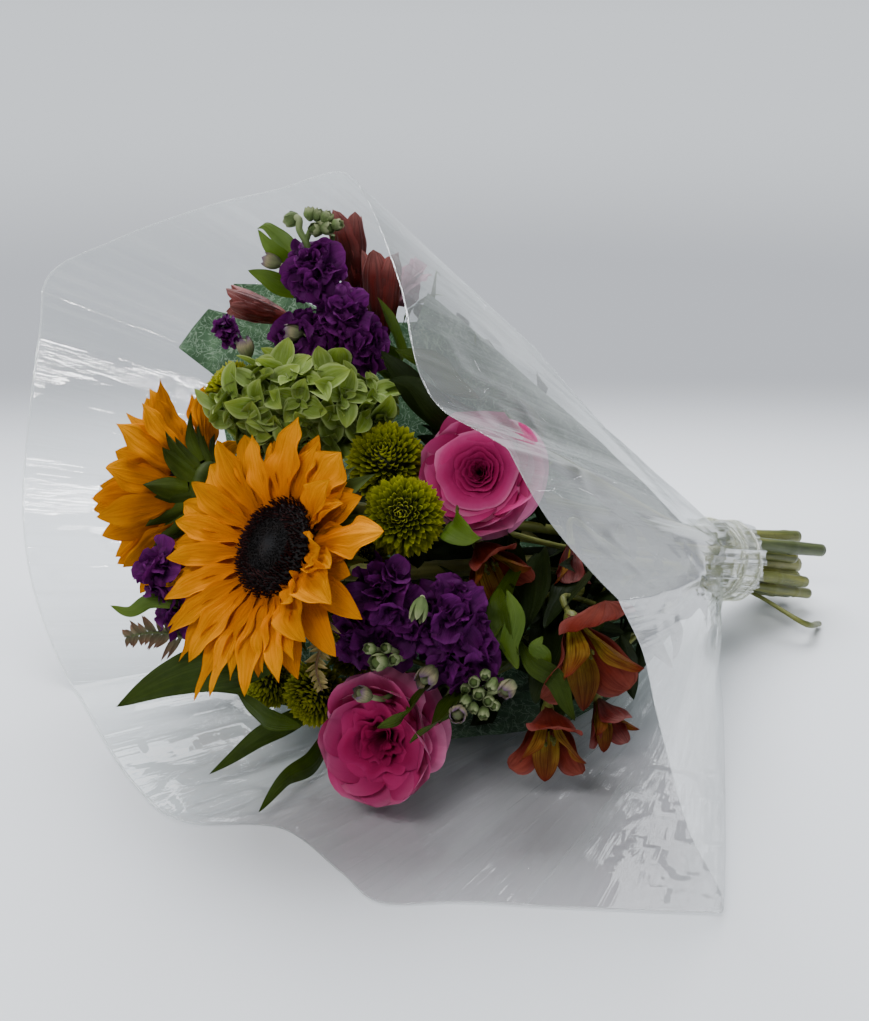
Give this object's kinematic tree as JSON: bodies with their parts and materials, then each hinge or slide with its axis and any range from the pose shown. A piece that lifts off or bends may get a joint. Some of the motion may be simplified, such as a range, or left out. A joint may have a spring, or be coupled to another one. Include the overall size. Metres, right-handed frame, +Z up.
{
  "type": "flower bouquet",
  "caption": "Mixed hand-tied flower bouquet lying on its side, in green tissue inside a clear film cone, cut stems at one end",
  "frame": {"origin": "middle of the bounding box at floor level, z = 0 on the floor the bouquet lies on", "axes": "+Z up; the cut stems point towards +Y and the flowers open towards -Y"},
  "size_m": [0.463, 0.4626, 0.278],
  "materials": {
    "clear_film": "clear glossy wrapping film",
    "clear_tape": "clear adhesive tape",
    "green_tissue": "soft fibrous non-woven tissue",
    "sunflower_petals": "soft satin petal",
    "sunflower_disc": "dark fuzzy florets",
    "calyx": "matt green bracts",
    "rose_petals": "soft satin petal",
    "button_flowers": "dense matt florets",
    "bracts": "soft matt bracts",
    "stock_florets": "velvety petal",
    "stock_buds": "downy buds",
    "alstroemeria_petals": "soft satin petal",
    "leaves": "satin leaf",
    "needle_leaves": "dull needles",
    "stems": "satin green stem"
  },
  "bodies": {
    "root": {"alstroemeria_behind_bud": "alstroemeria_petals", "alstroemeria_large_flower": "alstroemeria_petals", "alstroemeria_low_flower": "alstroemeria_petals", "alstroemeria_low_stem": "stems", "alstroemeria_middle_flower": "alstroemeria_petals", "alstroemeria_middle_stem": "stems", "alstroemeria_right_flower": "alstroemeria_petals", "alstroemeria_side_bud": "alstroemeria_petals", "alstroemeria_tall_bud": "alstroemeria_petals", "alstroemeria_top_stem": "stems", "alstroemeria_under_flower": "alstroemeria_petals", "bract_cluster_stem": "stems", "button_chrysanthemum_far_left": "button_flowers", "button_chrysanthemum_inner": "button_flowers", "button_chrysanthemum_low": "button_flowers", "button_chrysanthemum_low_inner": "button_flowers", "button_chrysanthemum_low_left": "button_flowers", "button_chrysanthemum_middle": "button_flowers", "button_chrysanthemum_top": "button_flowers", "button_chrysanthemum_top_left": "button_flowers", "button_chrysanthemum_upper": "button_flowers", "chrysanthemum_left_stem": "stems", "chrysanthemum_low_stem": "stems", "chrysanthemum_upper_stem": "stems", "film_wrapper": "clear_film", "foliage_stem": "stems", "green_bract_cluster": "bracts", "leaf_left_large": "leaves", "leaf_low_front": "leaves", "leaf_low_left": "leaves", "leaf_top": "leaves", "loose_stem": "stems", "needle_sprig": "needle_leaves", "rose_back_bloom": "rose_petals", "rose_back_sepals": "calyx", "rose_back_stem": "stems", "rose_low_bloom": "rose_petals", "rose_low_sepals": "calyx", "rose_low_stem": "stems", "rose_right_bloom": "rose_petals", "rose_right_sepals": "calyx", "rose_right_stem": "stems", "stock_front_buds": "stock_buds", "stock_front_florets": "stock_florets", "stock_front_stem": "stems", "stock_left_florets": "stock_florets", "stock_left_stem": "stems", "stock_top_buds": "stock_buds", "stock_top_florets": "stock_florets", "stock_top_stem": "stems", "sunflower_front_calyx": "calyx", "sunflower_front_disc": "sunflower_disc", "sunflower_front_petals": "sunflower_petals", "sunflower_front_stem": "stems", "sunflower_left_calyx": "calyx", "sunflower_left_disc": "sunflower_disc", "sunflower_left_petals": "sunflower_petals", "sunflower_left_stem": "stems", "tie_tape": "clear_tape", "tissue_wrap": "green_tissue"}
  },
  "joints": []
}
